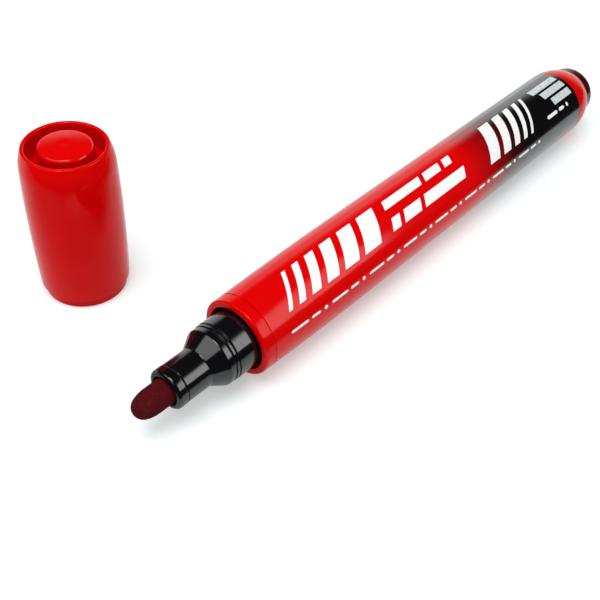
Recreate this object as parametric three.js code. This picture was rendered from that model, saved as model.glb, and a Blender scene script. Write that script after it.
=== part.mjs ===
import * as THREE from 'three';

// A bullet-nib permanent marker lying on its side, with its cap taken off
// and stood on its open end beside it. Millimetres, +Z up. The marker's axis
// runs along X, nib towards -X; the cap's axis is upright.
// Every piece is turned, so each is one outline spun about its own axis.
// In the outlines a place along the marker is counted from the mouth of the
// barrel, negative towards the nib, and a place along the cap from its open end.

// Facets around each turned piece; a multiple of four puts one facet flat on the table.
const facets = 36;

// Barrel
const bodyRadius = 7.7;
const mouthRadius = 7.2;
const boreRadius = 6.0;
const barrelLength = 110.5;
const swellLength = 32;          // the barrel widens from the mouth over this length
const lipRounding = 0.4;
const rearRounding = 6.0;        // length of the rounded red end behind the label
const rearRoundingPower = 2.3;   // 2 is a parabola; more keeps the end fuller
const rearRadius = 6.45;         // outer radius at the barrel's rear end
const rearHoleRadius = 5.1;
const rearLipDepth = 3.0;        // how far the turned-in rear lip reaches forward

// Printed film sleeve in its shallow seat around the barrel
const labelFront = 2.35;         // bare red collar in front of the film
const labelRearMargin = 6.2;     // bare red end behind the film
const filmThickness = 0.12;
const filmClearance = 0.06;
const filmEndGap = 0.1;

// Tail plug
const plugHeadLength = 3.8;
const plugStep = 0.6;            // the plug's head is this much slimmer than the barrel's end
const plugRounding = 1.2;
const plugStemLength = 6.6;
const plugWall = 1.1;
const plugClearance = 0.1;

// Nib holder
const holderReach = 15.7;        // from the mouth to the holder's front face
const holderFrontRadius = 2.95;
const neckRadius = 3.6;
const frontRingRadius = 3.66;
const frontRingLength = 1.9;
const neckLength = 4.8;
const coneLength = 2.75;
const shoulderRadius = 5.3;
const shoulderRounding = 0.2;    // where the cone meets the shoulder
const baseRadius = 5.45;
const snapLandLength = 0.55;     // narrow ring between the two snap grooves
const snapLandRadius = 5.38;
const snapGrooveWidth = 0.2;
const snapGrooveDepth = 0.25;
const baseReach = 4.05;          // from the mouth to the rear snap groove
const mouthRecess = 3.0;         // depth of the ring-shaped gap behind the mouth
const holderSeatLength = 5.6;    // the part pressed into the bore
const holderClearance = 0.06;
const ventChamberRadius = 4.3;   // air space around the nib inside the holder
const holderWebReach = 5.2;      // the chamber's front end, from the mouth
const ventConeLength = 1.0;      // the chamber narrows to the nib over this length

// Nib
const nibRadius = 2.3;
const nibReach = 6.2;            // beyond the holder's front face
const nibTipRadius = 0.55;
const nibTaperLength = 4.0;
const nibTaperPower = 2.2;       // 2 is an ellipse; more keeps the bullet fuller
const nibTailLength = 14.0;      // from the mouth back into the ink reservoir
const nibTailChamfer = 1.1;
const nibClearance = 0.1;
const nibMouthGap = 0.4;         // the holder flares by this much at its front face
const nibMouthDepth = 0.9;

// Ink reservoir and the film wound round it
const wrapThickness = 0.14;
const wrapClearance = 0.08;
const reservoirGap = 0.28;       // between the wrap and the barrel's bore
const reservoirEndGap = 0.3;
const nibSocketClearance = 0.2;

// Cap
const capHeight = 30.2;
const capRingRadius = 7.45;      // slimmer ring at the open end
const capRingHeight = 1.8;
const capFootRadius = 8.05;
const capFootRounding = 0.15;
const capWidestRadius = 8.34;
const capWidestHeight = 15.5;
const capShoulderHeight = 3.7;
const capShoulderTurn = 0.69;    // how far the shoulder turns in beyond the side's own curve
const capRimRadius = 7.2;
const capRimWall = 0.65;
const capWall = 1.15;
const capFloorDepth = 3.8;       // from the rim down to the floor of the ring-shaped recess
const capFloorThickness = 1.0;
const capX = -3.75;              // the cap's place beside the marker, from the mouth
const capY = 35.6;

// Inner cup of the cap, whose closed top is the round button
const buttonRadius = 4.7;
const buttonRise = 0.3;          // of its crown above the cap's rim
const buttonDome = 0.25;         // the top falls this much from its crown to its rounded edge
const buttonRounding = 0.7;
const cupWall = 0.7;
const cupTopThickness = 1.0;
const cupClearance = 0.1;        // round the button in the floor's hole
const skirtClearance = 0.1;      // between the cup's skirt and the nib holder
const skirtWall = 0.65;
const skirtLift = 0.8;           // the skirt stops this far inside the open end
const skirtHeight = 6.6;
const cupConeHeight = 3.0;
const collarWidth = 0.6;         // stop collar under the recess floor
const collarHeight = 0.8;
const collarGap = 0.3;
const snapBead = 0.13;

// Places worked out from the sizes above
const labelRear = barrelLength - labelRearMargin;
const seatDepth = filmThickness + filmClearance;
const roundingStart = barrelLength - rearRounding;
const plugHeadRadius = rearRadius - plugStep;
const plugStemRadius = rearHoleRadius - plugClearance;
const plugHeadFront = barrelLength + plugClearance;
const tailEnd = plugHeadFront + plugHeadLength;
const plugStemFront = plugHeadFront - plugStemLength;
const holderFront = -holderReach;
const holderRear = mouthRecess + holderSeatLength;
const neckFront = holderFront + frontRingLength + snapGrooveWidth;
const neckRear = neckFront + neckLength;
const frontSnapGroove = -(baseReach + snapLandLength + 2 * snapGrooveWidth);
const nibTip = holderFront - nibReach;
const wrapRadius = boreRadius - reservoirGap;
const reservoirRadius = wrapRadius - wrapThickness - wrapClearance;
const reservoirFront = holderRear + reservoirEndGap;
const reservoirRear = plugStemFront - reservoirEndGap;
const nibBore = nibRadius + nibClearance;
const capFloorTop = capHeight - capFloorDepth;
const capFloorBottom = capFloorTop - capFloorThickness;
const skirtRadius = baseRadius + skirtClearance;
const cupBore = buttonRadius - cupWall;
const cupTop = capHeight + buttonRise;

// The origin is under the middle of the whole set, on the table.
const facetFlat = Math.cos(Math.PI / facets);
const axisHeight = bodyRadius * facetFlat;
const middleX = (nibTip + tailEnd) / 2;
const middleY = (capY + capWidestRadius - bodyRadius) / 2;

// Points [place, radius] of a circular arc, angles in degrees from the axis's direction
function arc(place, radius, size, from, to, steps) {
  return Array.from({ length: steps + 1 }, (_, i) => {
    const angle = THREE.MathUtils.degToRad(from + (to - from) * i / steps);
    return [place + size * Math.cos(angle), radius + size * Math.sin(angle)];
  });
}

// Points [place, radiusAt(place)] of a smooth outline between two places
function outline(from, to, steps, radiusAt) {
  return Array.from({ length: steps + 1 }, (_, i) => {
    const place = from + (to - from) * i / steps;
    return [place, radiusAt(place)];
  });
}

// A turned solid about +Z from outline points [place, radius], one facet facing -X
function turned(name, points, finish) {
  const profile = points.map(([place, radius]) => new THREE.Vector2(radius, place));
  const geometry = new THREE.LatheGeometry(profile, facets, Math.PI / facets);
  geometry.rotateX(Math.PI / 2);
  const mesh = new THREE.Mesh(geometry, new THREE.MeshStandardMaterial(finish));
  mesh.name = name;
  return mesh;
}

const redPlastic = { color: 0xcc1016, roughness: 0.25, metalness: 0 };
const printedFilm = { color: 0xc81418, roughness: 0.18, metalness: 0 };
const blackPlastic = { color: 0x141416, roughness: 0.22, metalness: 0 };
const darkTailPlastic = { color: 0x2a0608, roughness: 0.25, metalness: 0 };
const inkedFelt = { color: 0x5c1218, roughness: 0.95, metalness: 0 };
const inkedFibre = { color: 0xa01820, roughness: 1, metalness: 0 };
const clearFilm = { color: 0xe8e4e0, roughness: 0.3, metalness: 0 };

// The barrel's outer radius: widening from the mouth, parallel, then rounded off at the rear
function barrelRadius(place) {
  if (place < swellLength) {
    return bodyRadius - (bodyRadius - mouthRadius) * (1 - place / swellLength) ** 2;
  }
  const round = Math.max(0, (place - roundingStart) / rearRounding);
  return bodyRadius - (bodyRadius - rearRadius) * round ** rearRoundingPower;
}

function makeBarrel() {
  const seat = (place) => barrelRadius(place) - seatDepth;
  return turned('barrel', [
    [0, boreRadius],
    [0, mouthRadius - lipRounding],
    ...arc(lipRounding, mouthRadius - lipRounding, lipRounding, 180, 90, 4).slice(1),
    [labelFront - filmEndGap, barrelRadius(labelFront)],
    ...outline(labelFront - filmEndGap, swellLength, 6, seat),
    [labelRear + filmEndGap, seat(labelRear)],
    [labelRear + filmEndGap, barrelRadius(labelRear)],
    ...outline(roundingStart, barrelLength, 7, barrelRadius),
    [barrelLength, rearHoleRadius],
    [barrelLength - rearLipDepth, rearHoleRadius],
    [barrelLength - rearLipDepth - (boreRadius - rearHoleRadius), boreRadius],
    [0, boreRadius],
  ], redPlastic);
}

function makeLabel() {
  const inner = (place) => barrelRadius(place) - filmThickness;
  return turned('barrel_label', [
    ...outline(labelFront, swellLength, 6, barrelRadius),
    [labelRear, barrelRadius(labelRear)],
    [labelRear, inner(labelRear)],
    ...outline(swellLength, labelFront, 6, inner),
    [labelFront, barrelRadius(labelFront)],
  ], printedFilm);
}

function makeTailPlug() {
  return turned('tail_plug', [
    [plugHeadFront, 0],
    [plugHeadFront, plugStemRadius - plugWall],
    [plugStemFront, plugStemRadius - plugWall],
    [plugStemFront, plugStemRadius],
    [plugHeadFront, plugStemRadius],
    [plugHeadFront, plugHeadRadius],
    ...arc(tailEnd - plugRounding, plugHeadRadius - plugRounding, plugRounding, 90, 0, 5),
    [tailEnd, 0],
  ], darkTailPlastic);
}

// A square groove in an outline, between the radius in front of it and the one behind
function groove(front, radiusBefore, radiusAfter) {
  const floor = Math.min(radiusBefore, radiusAfter) - snapGrooveDepth;
  return [
    [front, radiusBefore],
    [front, floor],
    [front + snapGrooveWidth, floor],
    [front + snapGrooveWidth, radiusAfter],
  ];
}

function makeNibHolder() {
  const frontCorner = frontRingRadius - holderFrontRadius;
  const shoulderArcPlace = neckRear + coneLength + shoulderRounding;
  const shoulderArcRadius = shoulderRadius - shoulderRounding;
  return turned('nib_holder', [
    [holderFront, nibBore + nibMouthGap],
    [holderFront, holderFrontRadius],
    ...arc(holderFront + frontCorner, holderFrontRadius, frontCorner, 180, 90, 4).slice(1),
    ...groove(holderFront + frontRingLength, frontRingRadius, neckRadius),
    [neckRear, neckRadius],
    ...arc(shoulderArcPlace, shoulderArcRadius, shoulderRounding, 180, 90, 3),
    ...groove(frontSnapGroove, shoulderRadius, snapLandRadius),
    ...groove(-baseReach - snapGrooveWidth, snapLandRadius, baseRadius),
    [mouthRecess, baseRadius],
    [mouthRecess, boreRadius - holderClearance],
    [holderRear, boreRadius - holderClearance],
    [holderRear, ventChamberRadius],
    [-holderWebReach, ventChamberRadius],
    [-holderWebReach - ventConeLength, nibBore],
    [holderFront + nibMouthDepth, nibBore],
    [holderFront, nibBore + nibMouthGap],
  ], blackPlastic);
}

function makeNib() {
  const taperRear = nibTip + nibTaperLength;
  // Bullet shape: flat-ended only by its small tip radius
  const bullet = (place) => {
    const t = (taperRear - place) / nibTaperLength;
    return nibTipRadius + (nibRadius - nibTipRadius) * Math.sqrt(1 - t ** nibTaperPower);
  };
  return turned('nib', [
    [nibTip, 0],
    ...outline(nibTip, taperRear, 9, bullet),
    [nibTailLength - nibTailChamfer, nibRadius],
    [nibTailLength, nibRadius - nibTailChamfer],
    [nibTailLength, 0],
  ], inkedFelt);
}

function makeReservoir() {
  const socketRadius = nibRadius + nibSocketClearance;
  const socketEnd = nibTailLength + reservoirEndGap;
  return turned('ink_reservoir', [
    [socketEnd, 0],
    [socketEnd, socketRadius],
    [reservoirFront, socketRadius],
    [reservoirFront, reservoirRadius],
    [reservoirRear, reservoirRadius],
    [reservoirRear, 0],
  ], inkedFibre);
}

function makeReservoirWrap() {
  return turned('reservoir_wrap', [
    [reservoirFront, wrapRadius - wrapThickness],
    [reservoirFront, wrapRadius],
    [reservoirRear, wrapRadius],
    [reservoirRear, wrapRadius - wrapThickness],
    [reservoirFront, wrapRadius - wrapThickness],
  ], clearFilm);
}

// The cap's outer radius: a slight swell, widest at mid-height, then a shoulder in to the rim
function capRadius(height) {
  const below = Math.max(0, (capWidestHeight - height) / (capWidestHeight - capRingHeight));
  const above = Math.max(0, (height - capWidestHeight) / (capHeight - capWidestHeight));
  const shoulder = Math.max(0, 1 - (capHeight - height) / capShoulderHeight);
  return capWidestRadius
    - (capWidestRadius - capFootRadius) * below ** 2
    - (capWidestRadius - capShoulderTurn - capRimRadius) * above ** 2
    - capShoulderTurn * shoulder ** 2;
}

function makeCapShell() {
  const shoulderStart = capHeight - capShoulderHeight;
  const rimBore = capRimRadius - capRimWall;
  const ringBore = capRingRadius - capWall;
  const bodyBore = capFootRadius - capWall;
  return turned('cap_shell', [
    [0, ringBore],
    [0, capRingRadius],
    [capRingHeight, capRingRadius],
    [capRingHeight, capFootRadius - capFootRounding],
    ...outline(capRingHeight + capFootRounding, shoulderStart, 10, capRadius),
    ...outline(shoulderStart, capHeight, 7, capRadius).slice(1),
    [capHeight, rimBore],
    [capFloorTop, rimBore],
    [capFloorTop, buttonRadius + cupClearance],
    [capFloorBottom, buttonRadius + cupClearance],
    [capFloorBottom, bodyBore],
    [skirtHeight, bodyBore],
    [capRingHeight + capWall, ringBore],
    [0, ringBore],
  ], redPlastic);
}

function makeCapInnerCup() {
  const skirtOuter = skirtRadius + skirtWall;
  const coneTop = skirtHeight + cupConeHeight;
  const collarTop = capFloorBottom - collarGap;
  const beadHeight = baseReach + snapGrooveWidth / 2;
  const domeRadius = buttonRadius - buttonRounding;
  const domeEdge = cupTop - buttonDome;
  const dome = outline(1, 0, 4, (part) => domeRadius * part)
    .map(([part, radius]) => [cupTop - buttonDome * part ** 2, radius]);
  return turned('cap_inner_cup', [
    [cupTop - cupTopThickness, 0],
    [cupTop - cupTopThickness, cupBore],
    [coneTop, cupBore],
    [skirtHeight, skirtRadius],
    [beadHeight + snapBead, skirtRadius],
    [beadHeight, skirtRadius - snapBead],
    [beadHeight - snapBead, skirtRadius],
    [skirtLift, skirtRadius],
    [skirtLift, skirtOuter],
    [skirtHeight, skirtOuter],
    [coneTop, buttonRadius],
    [collarTop - collarHeight, buttonRadius],
    [collarTop - collarHeight, buttonRadius + collarWidth],
    [collarTop, buttonRadius + collarWidth],
    [collarTop, buttonRadius],
    ...arc(domeEdge - buttonRounding, domeRadius, buttonRounding, 90, 0, 4),
    ...dome.slice(1),
  ], redPlastic);
}

const permanentMarker = new THREE.Group();

// The marker lies along X: its turned pieces, drawn upright, are laid over together.
const marker = new THREE.Group();
marker.rotation.y = Math.PI / 2;
marker.position.set(-middleX, -middleY, axisHeight);
marker.add(
  makeBarrel(), makeLabel(), makeTailPlug(), makeNibHolder(), makeNib(),
  makeReservoir(), makeReservoirWrap(),
);
permanentMarker.add(marker);

const cap = new THREE.Group();
cap.position.set(capX - middleX, capY - middleY, 0);
cap.add(makeCapShell(), makeCapInnerCup());
permanentMarker.add(cap);

export default permanentMarker;
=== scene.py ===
import math

import bmesh
import bpy
from mathutils import Matrix, Vector, noise


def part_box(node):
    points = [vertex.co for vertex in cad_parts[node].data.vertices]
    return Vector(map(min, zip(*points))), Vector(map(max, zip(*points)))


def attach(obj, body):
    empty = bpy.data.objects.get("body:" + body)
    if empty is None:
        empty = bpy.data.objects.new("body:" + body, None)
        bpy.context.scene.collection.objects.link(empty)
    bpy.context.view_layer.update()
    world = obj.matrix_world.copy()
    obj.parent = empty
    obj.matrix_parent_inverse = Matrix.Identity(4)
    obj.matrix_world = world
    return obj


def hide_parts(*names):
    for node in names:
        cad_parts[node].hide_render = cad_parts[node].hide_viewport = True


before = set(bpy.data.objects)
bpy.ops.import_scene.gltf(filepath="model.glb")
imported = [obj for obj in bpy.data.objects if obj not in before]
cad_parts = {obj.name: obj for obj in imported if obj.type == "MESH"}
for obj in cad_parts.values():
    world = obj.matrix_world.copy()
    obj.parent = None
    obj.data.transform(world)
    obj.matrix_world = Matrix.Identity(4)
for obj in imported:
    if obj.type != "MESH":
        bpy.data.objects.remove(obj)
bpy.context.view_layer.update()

# The looks of a bullet-nib permanent marker and its cap, in metres. Apart from the printed
# marks, every piece made here is turned about the marker's axis or the cap's, from an outline
# of points (place, radius). A place along the marker counts from the mouth of the barrel,
# negative towards the nib, and a place along the cap counts from its open end. A seam is the
# place on a hidden inner wall where a closed outline starts and ends.

MM = 0.001

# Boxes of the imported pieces, and where they put the two axes
barrel_low, barrel_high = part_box("barrel")
label_low, label_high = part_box("barrel_label")
plug_low, plug_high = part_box("tail_plug")
holder_low, holder_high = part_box("nib_holder")
nib_low, nib_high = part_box("nib")
shell_low, shell_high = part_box("cap_shell")
cup_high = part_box("cap_inner_cup")[1]

mouth = Vector((barrel_low.x, (barrel_low.y + barrel_high.y) / 2, (barrel_low.z + barrel_high.z) / 2))
cap_foot = Vector(((shell_low.x + shell_high.x) / 2, (shell_low.y + shell_high.y) / 2, shell_low.z))


def widest(node, distance):
    """The largest distance of a node's corners from its axis."""
    return max(distance(v.co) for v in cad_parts[node].data.vertices)


def from_marker_axis(point):
    return math.hypot(point.y - mouth.y, point.z - mouth.z)


def from_cap_axis(point):
    return math.hypot(point.x - cap_foot.x, point.y - cap_foot.y)


# Marker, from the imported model
BODY_RADIUS = widest("barrel", from_marker_axis)
BARREL_LENGTH = barrel_high.x - mouth.x
LABEL_FRONT = label_low.x - mouth.x
LABEL_REAR = label_high.x - mouth.x
PLUG_HEAD_RADIUS = widest("tail_plug", from_marker_axis)
PLUG_FRONT = plug_low.x - mouth.x
TAIL_END = plug_high.x - mouth.x
HOLDER_FRONT = holder_low.x - mouth.x
HOLDER_REAR = holder_high.x - mouth.x
NIB_TIP = nib_low.x - mouth.x
NIB_REAR = nib_high.x - mouth.x
NIB_RADIUS = widest("nib", from_marker_axis)

# Barrel
MOUTH_RADIUS = 7.2 * MM
BORE_RADIUS = 6.0 * MM
SWELL_LENGTH = 32 * MM
LIP_ROUNDING = 0.4 * MM
REAR_ROUNDING = 6.0 * MM
REAR_ROUNDING_POWER = 2.3
REAR_RADIUS = 6.45 * MM
REAR_HOLE_RADIUS = 5.1 * MM
REAR_LIP_DEPTH = 3.0 * MM
BARREL_SEAM = 20 * MM

# Printed film sleeve
FILM_THICKNESS = 0.12 * MM
FILM_CLEARANCE = 0.06 * MM
FILM_END_GAP = 0.1 * MM
FILM_EDGE_ROUNDING = 0.03 * MM
LABEL_SEAM = 50 * MM
LAP_THICKNESS = 0.05 * MM
LAP_WIDTH = 2.2 * MM
LAP_FADE = 0.8 * MM
LAP_STEP = 0.02 * MM
LAP_ANGLE = math.radians(50)
INK_PROUD = 0.012 * MM
INK_DEPTH = 0.03 * MM

# Tail plug
PLUG_ROUNDING = 1.2 * MM
PLUG_STEM_RADIUS = 5.0 * MM
PLUG_WALL = 1.1 * MM
PLUG_HEAD_LENGTH = 3.8 * MM

# Nib holder
HOLDER_FRONT_RADIUS = 2.95 * MM
FRONT_RING_RADIUS = 3.66 * MM
FRONT_RING_LENGTH = 1.9 * MM
NECK_RADIUS = 3.6 * MM
NECK_LENGTH = 4.8 * MM
CONE_LENGTH = 2.75 * MM
SHOULDER_RADIUS = 5.3 * MM
BASE_RADIUS = 5.45 * MM
SNAP_LAND_LENGTH = 0.55 * MM
SNAP_LAND_RADIUS = 5.38 * MM
SNAP_GROOVE_WIDTH = 0.2 * MM
SNAP_GROOVE_DEPTH = 0.25 * MM
BASE_REACH = 4.05 * MM
MOUTH_RECESS = 3.0 * MM
HOLDER_SEAT_RADIUS = 5.94 * MM
VENT_CHAMBER_RADIUS = 4.3 * MM
HOLDER_WEB_REACH = 5.2 * MM
VENT_CONE_LENGTH = 1.0 * MM
NIB_BORE = 2.4 * MM
NIB_MOUTH_GAP = 0.4 * MM
NIB_MOUTH_DEPTH = 0.9 * MM
HOLDER_SEAM = -8 * MM

# Nib
NIB_TAPER_LENGTH = 4.0 * MM
NIB_TAPER_POWER = 2.2
NIB_TIP_RADIUS = 0.55 * MM
NIB_TIP_POWER = 8
NIB_TAIL_CHAMFER = 1.1 * MM
NIB_TIP_STEPS = 32
SHAFT_START = 0.2 * MM
SHAFT_REACH = 2 * MM

# Felt: its relief fades out near the axis, and its noise counts along the nib and round it
FELT_FADE_RADIUS = 0.8 * MM
FIBRE_DEPTH = 0.018 * MM
FIBRES_ALONG = 500
FIBRES_ROUND = 14
LUMP_DEPTH = 0.03 * MM
LUMPS_ALONG = 900
LUMPS_ROUND = 2.2

# Cap
CAP_HEIGHT = shell_high.z - shell_low.z
CAP_WIDEST_RADIUS = widest("cap_shell", from_cap_axis)
CAP_RING_RADIUS = 7.45 * MM
CAP_RING_HEIGHT = 1.8 * MM
CAP_FOOT_RADIUS = 8.05 * MM
FOOT_ROUNDING = 0.28 * MM
RIM_ROUNDING = 0.3 * MM
CAP_WIDEST_HEIGHT = 15.5 * MM
CAP_SHOULDER_HEIGHT = 3.7 * MM
CAP_SHOULDER_TURN = 0.69 * MM
CAP_RIM_RADIUS = 7.2 * MM
CAP_RIM_WALL = 0.65 * MM
CAP_WALL = 1.15 * MM
CAP_FLOOR_DEPTH = 3.8 * MM
CAP_FLOOR_THICKNESS = 1.0 * MM
CAP_SEAM_LIFT = 4 * MM
SLOPE_STEP = 1e-6

# Inner cup, whose closed top is the button
BUTTON_RADIUS = 4.7 * MM
BUTTON_DOME = 0.25 * MM
BUTTON_ROUNDING = 0.7 * MM
CUP_TOP = cup_high.z - cap_foot.z
CUP_WALL = 0.7 * MM
CUP_TOP_THICKNESS = 1.0 * MM
CUP_CLEARANCE = 0.1 * MM
SKIRT_RADIUS = 5.55 * MM
SKIRT_WALL = 0.65 * MM
SKIRT_LIFT = 0.8 * MM
SKIRT_HEIGHT = 6.6 * MM
CUP_CONE_HEIGHT = 3.0 * MM
COLLAR_WIDTH = 0.6 * MM
COLLAR_HEIGHT = 0.8 * MM
COLLAR_GAP = 0.3 * MM
SNAP_BEAD = 0.13 * MM

# Gate marks on the button and the tail plug
GATE_RADIUS = 1.5 * MM
GATE_DEPTH = 0.05 * MM
GATE_FLOOR_SHARE = 0.6

# Surfaces
SEGMENTS = 192
EDGE_ROUNDING = 0.12 * MM
EDGE_STEPS = 5
SHARP_ANGLE = math.radians(40)
SAME_PLACE = 1e-9
# Corners that turn less than this stay as they are
LEAST_CORNER = math.radians(16)
# The most of a side that the rounding of one corner takes
CORNER_SHARE = 0.4
# A side longer than this many roundings gets a point this many from its corner
FLAT_SIDE = 4
FLAT_POINT = 1.6


# Outlines

def arc(place, radius, size, start, end, steps):
    """Outline points on a circular arc, angles in degrees from the axis's direction."""
    points = []
    for i in range(steps + 1):
        angle = math.radians(start + (end - start) * i / steps)
        points.append((place + size * math.cos(angle), radius + size * math.sin(angle)))
    return points


def curve(start, end, radius_at, steps):
    """Outline points of a smooth curve between two places."""
    places = [start + (end - start) * i / steps for i in range(steps + 1)]
    return [(place, radius_at(place)) for place in places]


def rounded(points, size=EDGE_ROUNDING):
    """The outline with each corner eased, and a point beside each that keeps flats flat."""
    eased = [points[0]]
    for before, corner, after in zip(points, points[1:], points[2:]):
        here = Vector(corner)
        back = Vector(before) - here
        ahead = Vector(after) - here
        if min(back.length, ahead.length) < SAME_PLACE:
            continue
        turning = math.pi - back.angle(ahead)
        if turning < LEAST_CORNER:
            eased.append(corner)
            continue
        reach = min(size, CORNER_SHARE * back.length, CORNER_SHARE * ahead.length)
        first = here + back.normalized() * reach
        last = here + ahead.normalized() * reach
        if back.length > FLAT_SIDE * reach:
            eased.append(tuple(here + back.normalized() * FLAT_POINT * reach))
        for i in range(EDGE_STEPS + 1):
            t = i / EDGE_STEPS
            eased.append(tuple(first * (1 - t) ** 2 + here * 2 * t * (1 - t) + last * t ** 2))
        if ahead.length > FLAT_SIDE * reach:
            eased.append(tuple(here + ahead.normalized() * FLAT_POINT * reach))
    eased.append(points[-1])
    return eased


# Turned pieces

def on_marker(place, radius, angle):
    """A point round the marker's axis; 0 degrees is towards the cap and 90 is up."""
    return mouth + Vector((place, radius * math.cos(angle), radius * math.sin(angle)))


def on_cap(place, radius, angle):
    return cap_foot + Vector((radius * math.cos(angle), radius * math.sin(angle), place))


def even_angles():
    return [2 * math.pi * i / SEGMENTS for i in range(SEGMENTS)]


def as_piece(name, bm, material, body, nodes=()):
    """The bmesh as a smooth object that rides on a body and stands for CAD nodes."""
    bmesh.ops.recalc_face_normals(bm, faces=bm.faces)
    mesh = bpy.data.meshes.new(name)
    bm.to_mesh(mesh)
    bm.free()
    mesh.polygons.foreach_set("use_smooth", [True] * len(mesh.polygons))
    mesh.set_sharp_from_angle(angle=SHARP_ANGLE)
    mesh.materials.append(material)
    piece = bpy.data.objects.new(name, mesh)
    bpy.context.scene.collection.objects.link(piece)
    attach(piece, body)
    if nodes:
        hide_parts(*nodes)


def turned_mesh(outline, seat, angles=None, relief=None):
    """A closed turned surface. relief(place, radius, angle) changes the radius locally."""
    angles = angles or even_angles()
    bm = bmesh.new()
    rings = []
    for place, radius in outline:
        if radius < SAME_PLACE:
            rings.append([bm.verts.new(seat(place, 0, 0))])
            continue
        ring = []
        for angle in angles:
            local = relief(place, radius, angle) if relief else radius
            ring.append(bm.verts.new(seat(place, local, angle)))
        rings.append(ring)
    closed = (Vector(outline[0]) - Vector(outline[-1])).length < SAME_PLACE
    if closed and len(rings[0]) > 1:
        for vertex in rings[-1]:
            bm.verts.remove(vertex)
        rings[-1] = rings[0]
    count = len(angles)
    for one, two in zip(rings, rings[1:]):
        for i in range(count):
            j = (i + 1) % count
            if len(one) == 1 and len(two) == 1:
                continue
            if len(one) == 1:
                bm.faces.new((one[0], two[i], two[j]))
            elif len(two) == 1:
                bm.faces.new((one[i], one[j], two[0]))
            else:
                bm.faces.new((one[i], one[j], two[j], two[i]))
    return bm


# Barrel

def barrel_radius(place):
    """Widening from the mouth, parallel, then rounded off at the rear."""
    if place < SWELL_LENGTH:
        return BODY_RADIUS - (BODY_RADIUS - MOUTH_RADIUS) * (1 - place / SWELL_LENGTH) ** 2
    turn = max(0.0, (place - BARREL_LENGTH + REAR_ROUNDING) / REAR_ROUNDING)
    return BODY_RADIUS - (BODY_RADIUS - REAR_RADIUS) * turn ** REAR_ROUNDING_POWER


def make_barrel(material):
    def seat(place):
        return barrel_radius(place) - FILM_THICKNESS - FILM_CLEARANCE

    seat_front = LABEL_FRONT - FILM_END_GAP
    seat_rear = LABEL_REAR + FILM_END_GAP
    lip_centre = MOUTH_RADIUS - LIP_ROUNDING
    front = [
        (BARREL_SEAM, BORE_RADIUS),
        (0, BORE_RADIUS),
        *arc(LIP_ROUNDING, lip_centre, LIP_ROUNDING, 180, 90, steps=10),
    ]
    outside = [
        (seat_front, barrel_radius(seat_front)),
        *curve(seat_front, SWELL_LENGTH, seat, steps=24),
        (seat_rear, seat(seat_rear)),
        (seat_rear, barrel_radius(seat_rear)),
        *curve(BARREL_LENGTH - REAR_ROUNDING, BARREL_LENGTH, barrel_radius, steps=28),
    ]
    inside = [
        (BARREL_LENGTH, REAR_HOLE_RADIUS),
        (BARREL_LENGTH - REAR_LIP_DEPTH, REAR_HOLE_RADIUS),
        (BARREL_LENGTH - REAR_LIP_DEPTH - (BORE_RADIUS - REAR_HOLE_RADIUS), BORE_RADIUS),
        (BARREL_SEAM, BORE_RADIUS),
    ]
    outline = rounded(front + outside + inside)
    as_piece("barrel_tube", turned_mesh(outline, on_marker), material,
             "marker", ["barrel"])


# Printed film sleeve, lapped over itself along one line

def lap_relief(place, radius, angle):
    """The film stands a little proud just past its lap line and eases down again."""
    if radius < barrel_radius(place) - FILM_THICKNESS / 2:
        return radius
    along = (angle - LAP_ANGLE) * BODY_RADIUS
    ease = min(1.0, max(0.0, (along - LAP_WIDTH) / LAP_FADE))
    return radius + LAP_THICKNESS * (1 - ease * ease * (3 - 2 * ease))


def make_label(material):
    def inner(place):
        return barrel_radius(place) - FILM_THICKNESS

    outline = rounded([
        (LABEL_SEAM, inner(LABEL_SEAM)),
        *curve(SWELL_LENGTH, LABEL_FRONT, inner, steps=24),
        *curve(LABEL_FRONT, SWELL_LENGTH, barrel_radius, steps=24),
        (LABEL_REAR, barrel_radius(LABEL_REAR)),
        (LABEL_REAR, inner(LABEL_REAR)),
        (LABEL_SEAM, inner(LABEL_SEAM)),
    ], FILM_EDGE_ROUNDING)
    step = LAP_STEP / BODY_RADIUS
    angles = [LAP_ANGLE + angle for angle in even_angles()]
    angles.append(LAP_ANGLE + 2 * math.pi - step)
    as_piece("label_sleeve", turned_mesh(outline, on_marker, angles, lap_relief), material,
             "marker", ["barrel_label"])


# Printed marks on the sleeve: plain stripes, bars and dashes

MARK_ROW = 0.3 * MM
MARK_COLUMN = 1.5 * MM
MARK_LEAST_ROWS = 4
MARK_LEAST_COLUMNS = 2
MARK_SLANT = -0.6

# Silver stripes: lengths, and places across the marker, in millimetres
SILVER_LENGTHS = (10.5, 9.0, 7.5)
SILVER_SPACING = 2.3
SILVER_OFFSET = 3.4
SILVER_WIDTH = 1.7 * MM
SILVER_END_MARGIN = 1.2 * MM

# One round of a dash row: each mark's start, end and share of the row's width
DASH_WIDTH = 0.5 * MM
DASH_PITCH = 10.2 * MM
LONG_DASH = (0, 4.2 * MM, 1)
SHORT_DASH = (5.0 * MM, 7.2 * MM, 1)
DOT = (8.2 * MM, 9.0 * MM, 1.6)


def stripe(start, end, middle, width, slant=0.0):
    """A band along the marker; slant shifts its ends by that much per unit across."""
    low = middle - width / 2
    high = middle + width / 2

    def span(across):
        shift = slant * (across - middle)
        return start + shift, end + shift

    return low, high, span


def round_stripe(start, end, middle, width):
    """A band along the marker with half-round ends; a dot if it is as long as wide."""
    half = width / 2

    def span(across):
        offset = min(half, abs(across - middle))
        trim = half - math.sqrt(half * half - offset * offset)
        return start + trim, end - trim

    return middle - half, middle + half, span


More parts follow.
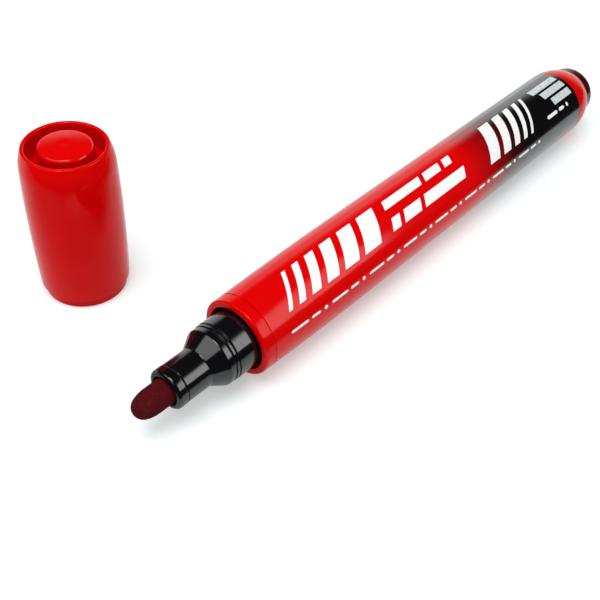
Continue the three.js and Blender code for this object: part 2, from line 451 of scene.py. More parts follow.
def add_mark(bm, base_angle, mark):
    """One ink mark as a thin closed slab that follows the sleeve."""
    low, high, span = mark
    rows = max(MARK_LEAST_ROWS, math.ceil((high - low) / MARK_ROW))
    offsets = [low + (high - low) * r / rows for r in range(rows + 1)]
    spans = [span(across) for across in offsets]
    longest = max(end - start for start, end in spans)
    columns = max(MARK_LEAST_COLUMNS, math.ceil(longest / MARK_COLUMN))
    layers = []
    for height in (INK_PROUD, -INK_DEPTH):
        grid = []
        for across, (start, end) in zip(offsets, spans):
            angle = base_angle + across / BODY_RADIUS
            line = []
            for c in range(columns + 1):
                place = start + (end - start) * c / columns
                line.append(bm.verts.new(on_marker(place, barrel_radius(place) + height, angle)))
            grid.append(line)
        layers.append(grid)
    top, bottom = layers
    for grid in layers:
        for r in range(rows):
            for c in range(columns):
                bm.faces.new((grid[r][c], grid[r][c + 1], grid[r + 1][c + 1], grid[r + 1][c]))
    rim = [(0, c) for c in range(columns)]
    rim += [(r, columns) for r in range(rows)]
    rim += [(rows, c) for c in range(columns, 0, -1)]
    rim += [(r, 0) for r in range(rows, 0, -1)]
    for (r, c), (s, d) in zip(rim, rim[1:] + rim[:1]):
        bm.faces.new((top[r][c], top[s][d], bottom[s][d], bottom[r][c]))


def bar_row(place, lengths, gap, middle, height):
    """Bars one after another, all leaning the same way; lengths and gap in millimetres."""
    marks = []
    for length in lengths:
        marks.append(stripe(place, place + length * MM, middle, height, MARK_SLANT))
        place += (length + gap) * MM
    return marks


def front_marks():
    """Bars that grow, broken stripes side by side, then bars that shrink on the dark end."""
    growing = bar_row(9 * MM, (0.9, 1.5, 2.2, 3.0, 3.8, 4.6), gap=1.7, middle=0, height=6.6 * MM)
    stripes = bar_row(37.5 * MM, (11.5, 5.2, 2.4), gap=1.3, middle=-2.0 * MM, height=1.9 * MM)
    stripes += bar_row(36 * MM, (2.4, 5.2, 13.5), gap=1.3, middle=1.9 * MM, height=2.2 * MM)
    shrinking = bar_row(70 * MM, (3.6, 2.7, 2.0, 1.4, 0.9), gap=1.6, middle=0, height=8.2 * MM)
    return growing + stripes + shrinking


def silver_marks():
    """Three plain stripes near the tail."""
    marks = []
    end = LABEL_REAR - SILVER_END_MARGIN
    for number, length in enumerate(SILVER_LENGTHS):
        middle = (number * SILVER_SPACING - SILVER_OFFSET) * MM
        marks.append(stripe(end - length * MM, end, middle, SILVER_WIDTH))
    return marks


def dash_row(start, end, boldness):
    """A long dash, a short dash and a dot, over and over."""
    marks = []
    place = start
    while place < end:
        for mark_start, mark_end, share in (LONG_DASH, SHORT_DASH, DOT):
            width = share * boldness * DASH_WIDTH
            marks.append(round_stripe(place + mark_start, place + mark_end, 0, width))
        place += DASH_PITCH
    return marks


FRONT_MARKS_ANGLE = math.radians(112)
BACK_MARKS_ANGLE = math.radians(-2)
SHORT_DASHES_ANGLE = math.radians(138)
DASHES_ANGLE = math.radians(163)


def make_label_marks(white, silver):
    bm = bmesh.new()
    for angle in (FRONT_MARKS_ANGLE, BACK_MARKS_ANGLE):
        for mark in front_marks():
            add_mark(bm, angle, mark)
    for mark in dash_row(start=6 * MM, end=84 * MM, boldness=1):
        add_mark(bm, DASHES_ANGLE, mark)
    for mark in dash_row(start=91 * MM, end=97 * MM, boldness=1.5):
        add_mark(bm, SHORT_DASHES_ANGLE, mark)
    as_piece("white_marks", bm, white, "marker")
    bm = bmesh.new()
    for angle in (FRONT_MARKS_ANGLE, BACK_MARKS_ANGLE):
        for mark in silver_marks():
            add_mark(bm, angle, mark)
    as_piece("silver_marks", bm, silver, "marker")


# Tail plug

def make_tail_plug(material):
    head_front = TAIL_END - PLUG_HEAD_LENGTH
    bore = PLUG_STEM_RADIUS - PLUG_WALL
    outline = rounded([
        (head_front, 0),
        (head_front, bore),
        (PLUG_FRONT, bore),
        (PLUG_FRONT, PLUG_STEM_RADIUS),
        (head_front, PLUG_STEM_RADIUS),
        (head_front, PLUG_HEAD_RADIUS),
        *arc(TAIL_END - PLUG_ROUNDING, PLUG_HEAD_RADIUS - PLUG_ROUNDING, PLUG_ROUNDING,
             90, 0, steps=12),
        (TAIL_END, GATE_RADIUS),
        (TAIL_END - GATE_DEPTH, GATE_FLOOR_SHARE * GATE_RADIUS),
        (TAIL_END - GATE_DEPTH, 0),
    ])
    as_piece("tail_plug_body", turned_mesh(outline, on_marker), material,
             "marker", ["tail_plug"])


# Nib holder and nib

def groove(front, radius_before, radius_after):
    """A square snap groove between the radius in front of it and the one behind."""
    floor = min(radius_before, radius_after) - SNAP_GROOVE_DEPTH
    return [
        (front, radius_before),
        (front, floor),
        (front + SNAP_GROOVE_WIDTH, floor),
        (front + SNAP_GROOVE_WIDTH, radius_after),
    ]


def make_nib_holder(material):
    corner = FRONT_RING_RADIUS - HOLDER_FRONT_RADIUS
    neck_rear = HOLDER_FRONT + FRONT_RING_LENGTH + SNAP_GROOVE_WIDTH + NECK_LENGTH
    front_groove = -(BASE_REACH + SNAP_LAND_LENGTH + 2 * SNAP_GROOVE_WIDTH)
    rear_groove = -(BASE_REACH + SNAP_GROOVE_WIDTH)
    outline = rounded([
        (HOLDER_SEAM, NIB_BORE),
        (HOLDER_FRONT + NIB_MOUTH_DEPTH, NIB_BORE),
        (HOLDER_FRONT, NIB_BORE + NIB_MOUTH_GAP),
        *arc(HOLDER_FRONT + corner, HOLDER_FRONT_RADIUS, corner, 180, 90, steps=12),
        *groove(HOLDER_FRONT + FRONT_RING_LENGTH, FRONT_RING_RADIUS, NECK_RADIUS),
        (neck_rear, NECK_RADIUS),
        (neck_rear + CONE_LENGTH, SHOULDER_RADIUS),
        *groove(front_groove, SHOULDER_RADIUS, SNAP_LAND_RADIUS),
        *groove(rear_groove, SNAP_LAND_RADIUS, BASE_RADIUS),
        (MOUTH_RECESS, BASE_RADIUS),
        (MOUTH_RECESS, HOLDER_SEAT_RADIUS),
        (HOLDER_REAR, HOLDER_SEAT_RADIUS),
        (HOLDER_REAR, VENT_CHAMBER_RADIUS),
        (-HOLDER_WEB_REACH, VENT_CHAMBER_RADIUS),
        (-HOLDER_WEB_REACH - VENT_CONE_LENGTH, NIB_BORE),
        (HOLDER_SEAM, NIB_BORE),
    ])
    as_piece("nib_holder_body", turned_mesh(outline, on_marker), material,
             "marker", ["nib_holder"])


def nib_radius(t):
    """The bullet's radius, t from 1 at its tip to 0 where it is parallel."""
    tip = NIB_TIP_RADIUS * math.sqrt(1 - t ** NIB_TIP_POWER)
    return tip + (NIB_RADIUS - NIB_TIP_RADIUS) * math.sqrt(1 - t ** NIB_TAPER_POWER)


def felt_relief(place, radius, angle):
    """Shallow lengthwise fibres and soft lumps in the pressed felt."""
    fade = min(1.0, radius / FELT_FADE_RADIUS)
    across = math.cos(angle)
    up = math.sin(angle)
    fibre = noise.noise(Vector((place * FIBRES_ALONG, across * FIBRES_ROUND, up * FIBRES_ROUND)))
    lump = noise.noise(Vector((place * LUMPS_ALONG, across * LUMPS_ROUND, up * LUMPS_ROUND)))
    return radius + fade * (FIBRE_DEPTH * fibre + LUMP_DEPTH * lump)


def make_nib(material):
    taper_rear = NIB_TIP + NIB_TAPER_LENGTH
    tip = [(NIB_TIP, 0)]
    for i in range(1, NIB_TIP_STEPS + 1):
        t = math.cos(math.radians(90 * i / NIB_TIP_STEPS))
        tip.append((taper_rear - NIB_TAPER_LENGTH * t, nib_radius(t)))
    shaft = curve(taper_rear + SHAFT_START, HOLDER_FRONT + SHAFT_REACH,
                  lambda place: NIB_RADIUS, steps=20)
    rear = [
        (NIB_REAR - NIB_TAIL_CHAMFER, NIB_RADIUS),
        (NIB_REAR, NIB_RADIUS - NIB_TAIL_CHAMFER),
        (NIB_REAR, 0),
    ]
    bm = turned_mesh(tip + shaft + rear, on_marker, relief=felt_relief)
    as_piece("felt_nib", bm, material, "marker", ["nib"])


# Cap

def cap_radius(height):
    """A slight swell, widest at mid-height, then a shoulder in to the rim."""
    below = max(0.0, (CAP_WIDEST_HEIGHT - height) / (CAP_WIDEST_HEIGHT - CAP_RING_HEIGHT))
    above = max(0.0, (height - CAP_WIDEST_HEIGHT) / (CAP_HEIGHT - CAP_WIDEST_HEIGHT))
    shoulder = max(0.0, 1 - (CAP_HEIGHT - height) / CAP_SHOULDER_HEIGHT)
    return (CAP_WIDEST_RADIUS
            - (CAP_WIDEST_RADIUS - CAP_FOOT_RADIUS) * below ** 2
            - (CAP_WIDEST_RADIUS - CAP_SHOULDER_TURN - CAP_RIM_RADIUS) * above ** 2
            - CAP_SHOULDER_TURN * shoulder ** 2)


def cap_rim(bore):
    """The rim rolled over from the shoulder to the recess."""
    narrowing = cap_radius(CAP_HEIGHT - SLOPE_STEP) - cap_radius(CAP_HEIGHT)
    lean = math.degrees(math.atan(narrowing / SLOPE_STEP))
    corner_place = CAP_HEIGHT - RIM_ROUNDING
    join_place = corner_place + RIM_ROUNDING * math.sin(math.radians(lean))
    corner_radius = cap_radius(join_place) - RIM_ROUNDING * math.cos(math.radians(lean))
    return join_place, [
        *arc(corner_place, corner_radius, RIM_ROUNDING, 90 - lean, 0, steps=8),
        *arc(corner_place, bore + RIM_ROUNDING, RIM_ROUNDING, 0, -90, steps=8),
    ]


def make_cap_shell(material):
    rim_bore = CAP_RIM_RADIUS - CAP_RIM_WALL
    ring_bore = CAP_RING_RADIUS - CAP_WALL
    body_bore = CAP_FOOT_RADIUS - CAP_WALL
    floor_top = CAP_HEIGHT - CAP_FLOOR_DEPTH
    floor_bottom = floor_top - CAP_FLOOR_THICKNESS
    hole = BUTTON_RADIUS + CUP_CLEARANCE
    side_start = CAP_RING_HEIGHT + FOOT_ROUNDING
    shoulder_start = CAP_HEIGHT - CAP_SHOULDER_HEIGHT
    join_place, rim = cap_rim(rim_bore)
    foot = arc(side_start, cap_radius(side_start) - FOOT_ROUNDING, FOOT_ROUNDING, 180, 90, steps=8)
    seam = SKIRT_HEIGHT + CAP_SEAM_LIFT
    outline = rounded([
        (seam, body_bore),
        (SKIRT_HEIGHT, body_bore),
        (CAP_RING_HEIGHT + CAP_WALL, ring_bore),
        (0, ring_bore),
        (0, CAP_RING_RADIUS),
        (CAP_RING_HEIGHT, CAP_RING_RADIUS),
        *foot,
        *curve(side_start, shoulder_start, cap_radius, steps=40)[1:],
        *curve(shoulder_start, join_place, cap_radius, steps=24)[1:],
        *rim[1:],
        (floor_top, rim_bore),
        (floor_top, hole),
        (floor_bottom, hole),
        (floor_bottom, body_bore),
        (seam, body_bore),
    ])
    as_piece("cap_outer", turned_mesh(outline, on_cap), material,
             "cap", ["cap_shell"])


def dome(edge_radius, steps):
    """The button's domed top with the shallow dimple of its gate, from its edge to its middle."""
    points = []
    for i in range(1, steps + 1):
        part = 1 - i / steps
        dimple = GATE_DEPTH * max(0.0, 1 - (part * edge_radius / GATE_RADIUS) ** 2) ** 2
        points.append((CUP_TOP - BUTTON_DOME * part ** 2 - dimple, edge_radius * part))
    return points


def make_cap_inner_cup(material):
    skirt_outer = SKIRT_RADIUS + SKIRT_WALL
    bore = BUTTON_RADIUS - CUP_WALL
    cone_top = SKIRT_HEIGHT + CUP_CONE_HEIGHT
    collar_top = CAP_HEIGHT - CAP_FLOOR_DEPTH - CAP_FLOOR_THICKNESS - COLLAR_GAP
    bead = BASE_REACH + SNAP_GROOVE_WIDTH / 2
    inside = [
        (CUP_TOP - CUP_TOP_THICKNESS, 0),
        (CUP_TOP - CUP_TOP_THICKNESS, bore),
        (cone_top, bore),
        (SKIRT_HEIGHT, SKIRT_RADIUS),
        (bead + SNAP_BEAD, SKIRT_RADIUS),
        (bead, SKIRT_RADIUS - SNAP_BEAD),
        (bead - SNAP_BEAD, SKIRT_RADIUS),
        (SKIRT_LIFT, SKIRT_RADIUS),
    ]
    outside = [
        (SKIRT_LIFT, skirt_outer),
        (SKIRT_HEIGHT, skirt_outer),
        (cone_top, BUTTON_RADIUS),
        (collar_top - COLLAR_HEIGHT, BUTTON_RADIUS),
        (collar_top - COLLAR_HEIGHT, BUTTON_RADIUS + COLLAR_WIDTH),
        (collar_top, BUTTON_RADIUS + COLLAR_WIDTH),
        (collar_top, BUTTON_RADIUS),
    ]
    dome_radius = BUTTON_RADIUS - BUTTON_ROUNDING
    rounding_end = math.degrees(math.atan(2 * BUTTON_DOME / dome_radius))
    rounding_place = CUP_TOP - BUTTON_DOME - BUTTON_ROUNDING
    button = [
        *arc(rounding_place, dome_radius, BUTTON_ROUNDING, 90, rounding_end, steps=12),
        *dome(dome_radius, steps=14),
    ]
    outline = rounded(inside + outside + button)
    as_piece("cap_button_cup", turned_mesh(outline, on_cap), material,
             "cap", ["cap_inner_cup"])


# Materials

class Nodes:
    """A short way to add and join shader nodes."""

    def __init__(self, tree):
        self.tree = tree

    def add(self, kind, **settings):
        node = self.tree.nodes.new(kind)
        for key, value in settings.items():
            setattr(node, key, value)
        return node

    def join(self, output, socket):
        self.tree.links.new(output, socket)

    def feed(self, value, socket):
        """Gives a socket a number, or joins an output to it."""
        if isinstance(value, (int, float)):
            socket.default_value = value
        else:
            self.join(value, socket)

    def value(self, output, low, high, ends=(0, 1), easing="LINEAR"):
        """Low where the output is at the first end, high where it is at the second."""
        spread = self.add("ShaderNodeMapRange", interpolation_type=easing)
        spread.inputs["From Min"].default_value = ends[0]
        spread.inputs["From Max"].default_value = ends[1]
        spread.inputs["To Min"].default_value = low
        spread.inputs["To Max"].default_value = high
        self.join(output, spread.inputs["Value"])
        return spread.outputs["Result"]

    def edge(self, output, origin, ends):
        """1 at the first end, counted from the origin, easing to 0 at the second."""
        return self.value(output, 1, 0, (origin + ends[0], origin + ends[1]), "SMOOTHSTEP")

    def calculate(self, operation, *values):
        """A calculation with outputs and numbers."""
        node = self.add("ShaderNodeMath", operation=operation)
        for value, socket in zip(values, node.inputs):
            self.feed(value, socket)
        return node.outputs["Value"]

    def choose(self, factor, one, other):
        """One where the factor is 0 and the other where it is 1."""
        node = self.add("ShaderNodeMix")
        self.join(factor, node.inputs["Factor"])
        self.feed(one, node.inputs["A"])
        self.feed(other, node.inputs["B"])
        return node.outputs["Result"]

    def coordinate(self, position, letter):
        apart = self.add("ShaderNodeSeparateXYZ")
        self.join(position, apart.inputs["Vector"])
        return apart.outputs[letter]

    def along(self, position, axis):
        """How far a position lies along an axis."""
        product = self.add("ShaderNodeVectorMath", operation="DOT_PRODUCT")
        product.inputs[1].default_value = axis
        self.join(position, product.inputs[0])
        return product.outputs["Value"]

    def noise(self, position, size, detail):
        """Noise whose features are about that size in metres."""
        texture = self.add("ShaderNodeTexNoise")
        texture.inputs["Scale"].default_value = 1 / size
        texture.inputs["Detail"].default_value = detail
        self.join(position, texture.inputs["Vector"])
        return texture.outputs["Fac"]

    def lengthwise(self, position, share):
        """The position scaled by a share along the marker, which draws noise out that way."""
        mapping = self.add("ShaderNodeMapping")
        mapping.inputs["Scale"].default_value = (share, 1, 1)
        self.join(position, mapping.inputs["Vector"])
        return mapping.outputs["Vector"]

    def ramp(self, factor, *stops):
        """Colours at places from 0 to 1."""
        ramp = self.add("ShaderNodeValToRGB")
        elements = ramp.color_ramp.elements
        while len(elements) < len(stops):
            elements.new(0.5)
        for element, (place, colour) in zip(elements, stops):
            element.position = place
            element.color = (*colour, 1)
        self.join(factor, ramp.inputs["Fac"])
        return ramp.outputs["Color"]

    def bump(self, height, depth, below=None):
        """A bump that many metres deep, on top of another."""
        bump = self.add("ShaderNodeBump")
        bump.inputs["Strength"].default_value = 1
        bump.inputs["Distance"].default_value = depth
        self.join(height, bump.inputs["Height"])
        if below:
            self.join(below, bump.inputs["Normal"])
        return bump.outputs["Normal"]


def new_material(name):
    """A material's nodes, its Principled shader and the position on the piece."""
    material = bpy.data.materials.new(name)
    material.use_nodes = True
    nodes = Nodes(material.node_tree)
    shader = material.node_tree.nodes["Principled BSDF"]
    position = nodes.add("ShaderNodeTexCoord").outputs["Object"]
    return material, nodes, shader, position


RED = (0.69, 0.0004, 0.0008)
DEEP_RED = (0.65, 0.0003, 0.0006)
BLACK = (0.004, 0.004, 0.005)
DEEP_BLACK = (0.003, 0.003, 0.004)
# The tail plug's colours: a very dark red, far darker than the barrel's red
DARK_RED = (0.060, 0.003, 0.006)
DEEP_DARK_RED = (0.045, 0.002, 0.004)
# Shares of its roughness between which a moulding's gloss varies
GLOSSIEST = 0.8
DULLEST = 1.3


def moulded_plastic(name, colour, darker, roughness, gloss):
    """Glossy moulding: faint flow marks, a fine orange peel and slightly uneven gloss."""
    material, nodes, shader, position = new_material(name)
    flow = nodes.noise(position, size=6 * MM, detail=3)
    peel = nodes.noise(position, size=0.45 * MM, detail=2)
    haze = nodes.noise(position, size=2.5 * MM, detail=5)
    nodes.join(nodes.ramp(flow, (0.3, darker), (0.7, colour)), shader.inputs["Base Color"])
    nodes.join(nodes.value(haze, roughness * GLOSSIEST, roughness * DULLEST), shader.inputs["Roughness"])
    wave = nodes.bump(flow, depth=0.03 * MM)
    nodes.join(nodes.bump(peel, depth=0.0006 * MM, below=wave), shader.inputs["Normal"])
    shader.inputs["Specular IOR Level"].default_value = gloss
    return material


LABEL_MID_RED = (0.34, 0.0006, 0.001)
LABEL_NEAR_BLACK = (0.045, 0.001, 0.0015)
LABEL_BLACK = (0.002, 0.002, 0.0025)
FADE_START = 61 * MM
FADE_END = 82 * MM
GRAIN_SIZE = 0.12 * MM
GRAIN_SPREAD = 0.06
LABEL_ROUGHNESS = (0.09, 0.14)
# Gloss at the red end and at the black end
LABEL_GLOSS = (0.15, 0.85)


def label_film():
    """Printed film: red that fades to black along the marker through a fine grain."""
    material, nodes, shader, position = new_material("label_film")
    fade_ends = (mouth.x + FADE_START, mouth.x + FADE_END)
    fade = nodes.value(nodes.coordinate(position, "X"), 0, 1, fade_ends)
    specks = nodes.noise(position, size=GRAIN_SIZE, detail=2)
    grain = nodes.value(specks, -GRAIN_SPREAD, GRAIN_SPREAD)
    colour = nodes.ramp(
        nodes.calculate("ADD", fade, grain),
        (0.0, RED),
        (0.35, LABEL_MID_RED),
        (0.7, LABEL_NEAR_BLACK),
        (1.0, LABEL_BLACK),
    )
    nodes.join(colour, shader.inputs["Base Color"])
    haze = nodes.noise(position, size=3 * MM, detail=5)
    nodes.join(nodes.value(haze, *LABEL_ROUGHNESS), shader.inputs["Roughness"])
    ripple = nodes.noise(nodes.lengthwise(position, 0.3), size=4 * MM, detail=2)
    nodes.join(nodes.bump(ripple, depth=0.02 * MM), shader.inputs["Normal"])
    nodes.join(nodes.value(fade, *LABEL_GLOSS), shader.inputs["Specular IOR Level"])
    return material


WHITE = (0.94, 0.94, 0.94)
MOTTLED_WHITE = (0.91, 0.91, 0.91)
SILVER = (0.66, 0.71, 0.72)
MOTTLED_SILVER = (0.56, 0.61, 0.62)
INK_ROUGHNESS = (0.22, 0.34)


def printed_ink(name, low, high):
    """Printed ink: a little mottled, with slightly uneven gloss."""
    material, nodes, shader, position = new_material(name)
    mottle = nodes.noise(position, size=0.5 * MM, detail=5)
    nodes.join(nodes.ramp(mottle, (0.3, low), (0.7, high)), shader.inputs["Base Color"])
    nodes.join(nodes.value(mottle, *INK_ROUGHNESS), shader.inputs["Roughness"])
    nodes.join(nodes.bump(mottle, depth=0.001 * MM), shader.inputs["Normal"])
    return material


FELT_DEEP = (0.054, 0.002, 0.004)
FELT_RED = (0.078, 0.003, 0.005)
FELT_LIGHT = (0.11, 0.008, 0.011)
FELT_FIBRE_END = (0.32, 0.07, 0.075)
FELT_GLOSS = 0.08
FELT_ROUGHNESS = (0.85, 1.0)
# How much the patches weaken or strengthen the fibres
PATCH_SHARES = (0.8, 1.25)


def inked_felt():
    """Pressed felt soaked with ink: dark, matt, with pale fibre ends and lengthwise fibres."""
    material, nodes, shader, position = new_material("inked_felt")
    fibres = nodes.noise(nodes.lengthwise(position, 0.5), size=0.16 * MM, detail=6)
    patches = nodes.noise(position, size=1.2 * MM, detail=3)
    colour = nodes.ramp(
        nodes.calculate("MULTIPLY", fibres, nodes.value(patches, *PATCH_SHARES)),
        (0.30, FELT_DEEP),
        (0.58, FELT_RED),
        (0.72, FELT_LIGHT),
        (0.80, FELT_FIBRE_END),
    )
    nodes.join(colour, shader.inputs["Base Color"])
    nodes.join(nodes.bump(fibres, depth=0.018 * MM), shader.inputs["Normal"])
    nodes.join(nodes.value(fibres, *FELT_ROUGHNESS), shader.inputs["Roughness"])
    shader.inputs["Specular IOR Level"].default_value = FELT_GLOSS
    return material


FIBRE_DARK = (0.18, 0.01, 0.012)
FIBRE_LIGHT = (0.45, 0.03, 0.04)
FIBRE_ROUGHNESS = (0.8, 1.0)


def fibre_rod():
    """The reservoir's bundled fibres, soaked with ink."""
    material, nodes, shader, position = new_material("fibre_rod")
    fibres = nodes.noise(nodes.lengthwise(position, 0.03), size=0.1 * MM, detail=4)
    nodes.join(nodes.ramp(fibres, (0.3, FIBRE_DARK), (0.7, FIBRE_LIGHT)), shader.inputs["Base Color"])
    nodes.join(nodes.bump(fibres, depth=0.04 * MM), shader.inputs["Normal"])
    nodes.join(nodes.value(fibres, *FIBRE_ROUGHNESS), shader.inputs["Roughness"])
    return material


FILM_SHADE = (0.70, 0.66, 0.64)
FILM_PALE = (0.85, 0.82, 0.80)
FILM_ROUGHNESS = (0.15, 0.3)


def clear_film():
    """The film round the reservoir, milky with fine wrinkles."""
    material, nodes, shader, position = new_material("clear_film")
    wrinkles = nodes.noise(nodes.lengthwise(position, 0.2), size=1.5 * MM, detail=4)
    nodes.join(nodes.ramp(wrinkles, (0.3, FILM_SHADE), (0.7, FILM_PALE)), shader.inputs["Base Color"])
    nodes.join(nodes.bump(wrinkles, depth=0.05 * MM), shader.inputs["Normal"])
    nodes.join(nodes.value(wrinkles, *FILM_ROUGHNESS), shader.inputs["Roughness"])
    return material


def dress_cad_node(node, material):
    """A CAD node that stays gets its procedural material."""
    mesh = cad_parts[node].data
    mesh.materials.clear()
    mesh.materials.append(material)


# Studio

HEADING = Vector((0.78352, 0.62137, 0))
RIGHT = Vector((0.62137, -0.78352, 0))
UP = Vector((0, 0, 1))
PITCH = math.radians(44.58)
ROLL = math.radians(4.58)
CAMERA_FROM_MOUTH = Vector((-68.185, -67.036, 0)) * MM
CAMERA_HEIGHT = 111.55 * MM
LENS = 50.78
SENSOR_WIDTH = 36
CLIP_START = 1 * MM

SET_MIDDLE = Vector((0, 0, 10 * MM))
# Each softbox's four corners, as azimuth and elevation from the middle of the set
CARD_DISTANCE = 0.6
CARD_FADE_FROM = 0.55
RIGHT_CARD = ((-84, 12), (-51, 13), (-26, 57), (-78, 44))
RIGHT_CARD_STRENGTH = 5
LEFT_CARD = ((214, 36), (130, 36), (130, 62), (214, 62))
LEFT_CARD_STRENGTH = 2.8
TOP_CARD = ((236, 64), (160, 64), (160, 80), (236, 80))
TOP_CARD_STRENGTH = 20

KEY_DIRECTION = (195, 71)
KEY_DISTANCE = 0.42
KEY_SIZE = 0.28
KEY_ENERGY = 1.25

AMBIENT_AHEAD = 0.38
AMBIENT_SIDES = 0.95
OVERHEAD_GLOSS = 0.02
BACKDROP_GLOSS = 1.3
# The backdrop starts and is full at these cosines from the camera's heading
BACKDROP_SIDES = (0.55, 0.85)
# It is full and gone at these heights of a ray's direction
BACKDROP_TOP = (0.28, 0.56)

FLOOR_HALF = 3.0
FLOOR_ROUGHNESS = 0.9
# The floor's slight cyan tint is painted shade colour: it cancels the red light that the marker bounces
# into the floor's shadows, so they read grey
FLOOR_COLOUR = (0.73, 0.80, 0.80)
FLOOR_LIFT = 0.34
# Distances from the middle at which the floor is fully white and starts to whiten
FLOOR_WHITENS = (0.30, 0.13)
# For gloss the floor is bright only near the object, as a sheet of paper in a dark room,
# and dimmer in front of the cap. Each pair runs from the place where this is complete to
# the place where it ends. Front places count along the heading from the cap, and side
# places count across the marker, a little askew.
SHEET_ACROSS = Vector((0.1, 1, 0))
SHEET_FRONT = (-50 * MM, -44 * MM)
SHEET_SIDE = (-62 * MM, -44 * MM)
DIM_FRONT = (-30 * MM, 10 * MM)
DIM_SIDE = (-14 * MM, -38 * MM)
DIM_SHARE = 0.65


def make_camera():
    forward = math.cos(PITCH) * HEADING - math.sin(PITCH) * UP
    upward = math.sin(PITCH) * HEADING + math.cos(PITCH) * UP
    across = math.cos(ROLL) * RIGHT + math.sin(ROLL) * upward
    above = math.cos(ROLL) * upward - math.sin(ROLL) * RIGHT
    camera = bpy.data.objects.new("camera", bpy.data.cameras.new("camera"))
    camera.data.lens = LENS
    camera.data.sensor_width = SENSOR_WIDTH
    camera.data.clip_start = CLIP_START
    place = Vector((mouth.x, mouth.y, 0)) + CAMERA_FROM_MOUTH + CAMERA_HEIGHT * UP
    turn = Matrix((across, above, -forward)).transposed()
    camera.matrix_world = Matrix.Translation(place) @ turn.to_4x4()
    bpy.context.scene.collection.objects.link(camera)
    bpy.context.scene.camera = camera


def direction(azimuth, elevation):
    """A unit vector, angles in degrees, 0 azimuth along +X."""
    level = math.cos(math.radians(elevation))
    return Vector((level * math.cos(math.radians(azimuth)), level * math.sin(math.radians(azimuth)),
                   math.sin(math.radians(elevation))))


def make_card(name, corners, strength):
    """A softbox that shows only in gloss and fades out towards its upper edge."""
    mesh = bpy.data.meshes.new(name)
    mesh.from_pydata([SET_MIDDLE + CARD_DISTANCE * direction(*corner) for corner in corners],
                     [], [(0, 1, 2, 3)])
    layer = mesh.uv_layers.new(name="card")
    for loop, place in zip(layer.data, ((0, 0), (1, 0), (1, 1), (0, 1))):
        loop.uv = place
    material = bpy.data.materials.new(name)
    material.use_nodes = True
    nodes = Nodes(material.node_tree)
    material.node_tree.nodes.remove(material.node_tree.nodes["Principled BSDF"])
    height = nodes.coordinate(nodes.add("ShaderNodeUVMap").outputs["UV"], "Y")
    fade = nodes.value(height, strength, 0, (CARD_FADE_FROM, 1), "SMOOTHSTEP")
    glow = nodes.add("ShaderNodeEmission")
    nodes.join(fade, glow.inputs["Strength"])
    output = material.node_tree.nodes["Material Output"]
    nodes.join(glow.outputs["Emission"], output.inputs["Surface"])
    mesh.materials.append(material)
    card = bpy.data.objects.new(name, mesh)
    bpy.context.scene.collection.objects.link(card)
    card.visible_camera = False
    card.visible_diffuse = False
    card.visible_shadow = False
    card.visible_transmission = False


def make_key_light():
    """A large soft lamp nearly overhead, a little towards the camera, that adds no reflection."""
    data = bpy.data.lights.new("key", "AREA")
    data.shape = "SQUARE"
    data.size = KEY_SIZE
    data.energy = KEY_ENERGY
    lamp = bpy.data.objects.new("key", data)
    away = direction(*KEY_DIRECTION)
    lamp.location = SET_MIDDLE + KEY_DISTANCE * away
    lamp.rotation_mode = "QUATERNION"
    lamp.rotation_quaternion = away.to_track_quat("Z", "Y")
    lamp.visible_glossy = False
    bpy.context.scene.collection.objects.link(lamp)


def make_world():
    """Soft light, more from both sides; gloss sees a pale backdrop low behind and a dark room."""
    world = bpy.data.worlds.new("studio")
    world.use_nodes = True
    bpy.context.scene.world = world
    nodes = Nodes(world.node_tree)
    ray = nodes.add("ShaderNodeTexCoord").outputs["Generated"]
    path = nodes.add("ShaderNodeLightPath")
    behind = nodes.value(nodes.along(ray, HEADING), 0, 1, BACKDROP_SIDES, "SMOOTHSTEP")
    low = nodes.value(nodes.coordinate(ray, "Z"), BACKDROP_GLOSS, 0, BACKDROP_TOP, "SMOOTHSTEP")
    gloss = nodes.calculate("MULTIPLY_ADD", behind, low, OVERHEAD_GLOSS)
    across = nodes.along(ray, RIGHT)
    aside = nodes.calculate("MULTIPLY", across, across)
    ambient = nodes.value(aside, AMBIENT_AHEAD, AMBIENT_SIDES)
    indirect = nodes.choose(path.outputs["Is Glossy Ray"], ambient, gloss)
    seen = nodes.choose(path.outputs["Is Camera Ray"], indirect, 1)
    background = world.node_tree.nodes["Background"]
    background.inputs["Color"].default_value = (1, 1, 1, 1)
    nodes.join(seen, background.inputs["Strength"])


def floor_lift(nodes, path, position):
    """How much the floor glows for the camera and gloss, up to full white far off."""
    seen = nodes.calculate("MAXIMUM", path.outputs["Is Camera Ray"], path.outputs["Is Glossy Ray"])
    distance = nodes.add("ShaderNodeVectorMath", operation="LENGTH")
    nodes.join(position, distance.inputs[0])
    far_off = nodes.edge(distance.outputs["Value"], 0, FLOOR_WHITENS)
    return nodes.calculate("MULTIPLY", seen, nodes.value(far_off, FLOOR_LIFT, 1))


def floor_darkness(nodes, path, position):
    """How dark the floor is for gloss: fully outside the sheet, and partly before the cap."""
    front = nodes.along(position, HEADING)
    side = nodes.along(position, SHEET_ACROSS)
    cap_place = cap_foot.dot(HEADING)
    past_front = nodes.edge(front, cap_place, SHEET_FRONT)
    past_side = nodes.edge(side, 0, SHEET_SIDE)
    outside = nodes.calculate("MAXIMUM", past_front, past_side)
    dim_front = nodes.edge(front, cap_place, DIM_FRONT)
    dim_side = nodes.edge(side, 0, DIM_SIDE)
    before_cap = nodes.calculate("MULTIPLY", dim_front, dim_side)
    hidden = nodes.calculate("MAXIMUM", outside, nodes.value(before_cap, 0, DIM_SHARE))
    return nodes.calculate("MULTIPLY", path.outputs["Is Glossy Ray"], hidden)


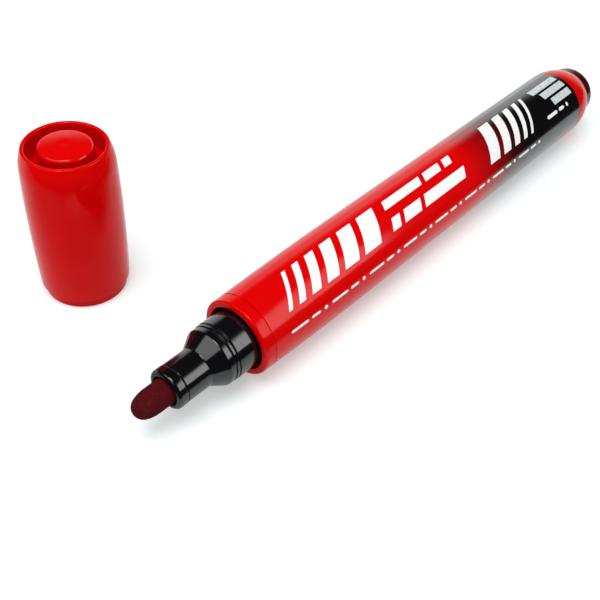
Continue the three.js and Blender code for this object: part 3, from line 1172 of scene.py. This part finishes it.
def white_floor():
    """A pale matt floor, lifted to white where it is unshaded, and dark to gloss off the sheet."""
    material, nodes, shader, position = new_material("floor")
    shader.inputs["Base Color"].default_value = (*FLOOR_COLOUR, 1)
    shader.inputs["Roughness"].default_value = FLOOR_ROUGHNESS
    shader.inputs["Specular IOR Level"].default_value = 0
    shader.inputs["Emission Color"].default_value = (1, 1, 1, 1)
    path = nodes.add("ShaderNodeLightPath")
    nodes.join(floor_lift(nodes, path, position), shader.inputs["Emission Strength"])
    room = nodes.add("ShaderNodeEmission")
    room.inputs["Strength"].default_value = OVERHEAD_GLOSS
    mixed = nodes.add("ShaderNodeMixShader")
    nodes.join(floor_darkness(nodes, path, position), mixed.inputs[0])
    nodes.join(shader.outputs["BSDF"], mixed.inputs[1])
    nodes.join(room.outputs["Emission"], mixed.inputs[2])
    output = material.node_tree.nodes["Material Output"]
    nodes.join(mixed.outputs["Shader"], output.inputs["Surface"])
    return material


def make_floor():
    """A wide floor under the barrel and the cap."""
    level = -(BODY_RADIUS - mouth.z)
    corners = [(x * FLOOR_HALF, y * FLOOR_HALF, level) for x, y in ((-1, -1), (1, -1), (1, 1), (-1, 1))]
    mesh = bpy.data.meshes.new("floor")
    mesh.from_pydata(corners, [], [(0, 1, 2, 3)])
    mesh.materials.append(white_floor())
    floor = bpy.data.objects.new("floor", mesh)
    bpy.context.scene.collection.objects.link(floor)


def make_studio():
    make_camera()
    make_world()
    make_floor()
    make_key_light()
    make_card("right_softbox", RIGHT_CARD, RIGHT_CARD_STRENGTH)
    make_card("left_softbox", LEFT_CARD, LEFT_CARD_STRENGTH)
    make_card("top_softbox", TOP_CARD, TOP_CARD_STRENGTH)
    bpy.context.scene.view_settings.view_transform = "Standard"


# The whole marker, its cap and the studio

red_plastic = moulded_plastic("red_plastic", RED, DEEP_RED, roughness=0.11, gloss=0.12)
button_plastic = moulded_plastic("button_plastic", RED, DEEP_RED, roughness=0.11, gloss=0.24)
black_plastic = moulded_plastic("black_plastic", BLACK, DEEP_BLACK, roughness=0.10, gloss=0.52)
tail_plug_dark_red = moulded_plastic("tail_plug_dark_red", DARK_RED, DEEP_DARK_RED, roughness=0.15, gloss=0.3)

make_studio()
make_barrel(red_plastic)
make_label(label_film())
make_label_marks(
    printed_ink("white_ink", MOTTLED_WHITE, WHITE),
    printed_ink("silver_ink", MOTTLED_SILVER, SILVER),
)
make_tail_plug(tail_plug_dark_red)
make_nib_holder(black_plastic)
make_nib(inked_felt())
make_cap_shell(red_plastic)
make_cap_inner_cup(button_plastic)
dress_cad_node("ink_reservoir", fibre_rod())
dress_cad_node("reservoir_wrap", clear_film())
